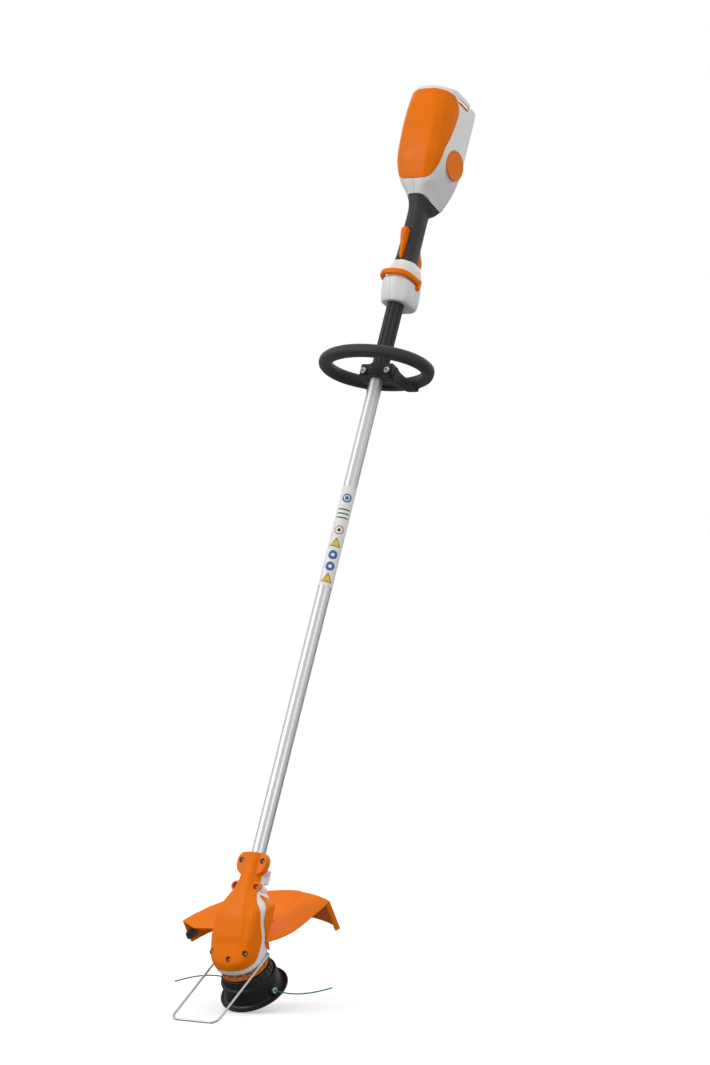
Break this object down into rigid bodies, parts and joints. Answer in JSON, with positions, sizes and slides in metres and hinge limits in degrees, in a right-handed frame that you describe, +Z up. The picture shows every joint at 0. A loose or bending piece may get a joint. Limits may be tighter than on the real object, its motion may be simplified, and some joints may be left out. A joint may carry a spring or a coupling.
{
  "type": "string trimmer",
  "caption": "Battery string trimmer: straight tube with loop handle, motor head with line spool, deflector and wire guard, rear grip with battery housing.",
  "frame": {"origin": "centre of the footprint, on the surface that the spool flange's rim and the wire guard's bar stand on", "axes": "+Z up, +X across the tool, -Y its front; the tube leans back towards +Y"},
  "size_m": [0.3346, 0.8326, 1.6443],
  "materials": {
    "orange_plastic": "saturated orange moulding, semi-gloss",
    "white_plastic": "off-white moulding, satin",
    "black_plastic": "charcoal moulding, fine texture",
    "soft_grip": "soft-touch grip rubber, matte",
    "alloy": "drawn and anodised, satin",
    "steel": "zinc-plated steel",
    "winding": "enamelled copper winding",
    "line_nylon": "green extruded nylon line",
    "label_film": "printed film with plain shapes",
    "battery_case": "dark grey moulding",
    "circuit_board": "lacquered board"
  },
  "bodies": {
    "tool": {"head_cover": "orange_plastic", "head_shell": "white_plastic", "neck_screw_upper_1": "steel", "neck_screw_lower_1": "steel", "neck_screw_upper_2": "steel", "neck_screw_lower_2": "steel", "cover_screw_1": "steel", "cover_screw_2": "steel", "cover_screw_3": "steel", "cowl_screw_1": "steel", "cowl_screw_2": "steel", "shaft_tube": "alloy", "power_cable": "soft_grip", "tube_label": "label_film", "grip_sleeve": "soft_grip", "collar_left": "white_plastic", "grip_left": "soft_grip", "housing_left": "white_plastic", "collar_right": "white_plastic", "grip_right": "soft_grip", "housing_right": "white_plastic", "power_switch": "black_plastic", "housing_cover": "orange_plastic", "badge": "orange_plastic", "terminal_block": "black_plastic", "control_board": "circuit_board", "motor_stator": "winding", "motor_bell_lower": "alloy", "motor_bell_upper": "alloy", "bearing_lower": "steel", "bearing_upper": "steel", "vent_ring": "orange_plastic", "deflector": "orange_plastic", "line_knife": "steel", "knife_screw": "steel"},
    "spool": {"spool_base": "black_plastic", "spool_cap": "black_plastic", "eyelet_1": "steel", "eyelet_2": "steel", "line_reel": "black_plastic", "line_coil": "line_nylon", "motor_shaft": "steel", "motor_rotor": "steel", "bump_spring": "steel", "cutting_line_1": "line_nylon", "cutting_line_2": "line_nylon"},
    "knob": {"bump_knob": "black_plastic"},
    "guard": {"wire_guard": "steel"},
    "bail": {"carry_bail": "orange_plastic"},
    "trigger": {"trigger": "orange_plastic"},
    "lever": {"lockout_lever": "orange_plastic"},
    "battery": {"battery_pack": "battery_case"},
    "latch": {"battery_latch": "orange_plastic"},
    "loop": {"loop_handle": "soft_grip", "clamp_cap": "black_plastic", "clamp_screw_1": "steel", "clamp_screw_2": "steel", "clamp_nut_1": "steel", "clamp_nut_2": "steel"}
  },
  "joints": [
    {"name": "spool_spin", "type": "hinge", "parent": "tool", "child": "spool", "pos_m": [0.03066, -0.23753, 0.03364], "axis": [0, -0.5446, 0.8387], "continuous": true},
    {"name": "knob_press", "type": "slide", "parent": "spool", "child": "knob", "axis": [0, -0.5446, 0.8387], "range_m": [0, 0.006], "stiffness_N_per_m": 900, "deforming": ["bump_spring"]},
    {"name": "guard_fold", "type": "hinge", "parent": "tool", "child": "guard", "pos_m": [0.03066, -0.2604, 0.1019], "axis": [-1, 0, 0], "range_deg": [0, 90]},
    {"name": "bail_swing", "type": "hinge", "parent": "tool", "child": "bail", "pos_m": [0.03066, 0.23064, 1.26464], "axis": [-1, 0, 0], "range_deg": [0, 14]},
    {"name": "trigger_pull", "type": "hinge", "parent": "tool", "child": "trigger", "pos_m": [0.03066, 0.26846, 1.3496], "axis": [-1, 0, 0], "range_deg": [0, 11], "stiffness_Nm_per_rad": 1.2},
    {"name": "lockout_press", "type": "hinge", "parent": "tool", "child": "lever", "pos_m": [0.03066, 0.22945, 1.32099], "axis": [-1, 0, 0], "range_deg": [0, 7], "stiffness_Nm_per_rad": 1},
    {"name": "battery_slide", "type": "slide", "parent": "tool", "child": "battery", "axis": [0, 0.4067, 0.9135], "range_m": [0, 0.14]},
    {"name": "latch_press", "type": "hinge", "parent": "tool", "child": "latch", "pos_m": [0.07466, 0.34476, 1.57506], "axis": [0, -0.9135, 0.4067], "range_deg": [0, 4], "stiffness_Nm_per_rad": 0.6},
    {"name": "loop_slide", "type": "slide", "parent": "tool", "child": "loop", "axis": [0, 0.4067, 0.9135], "range_m": [-0.12, 0]}
  ]
}
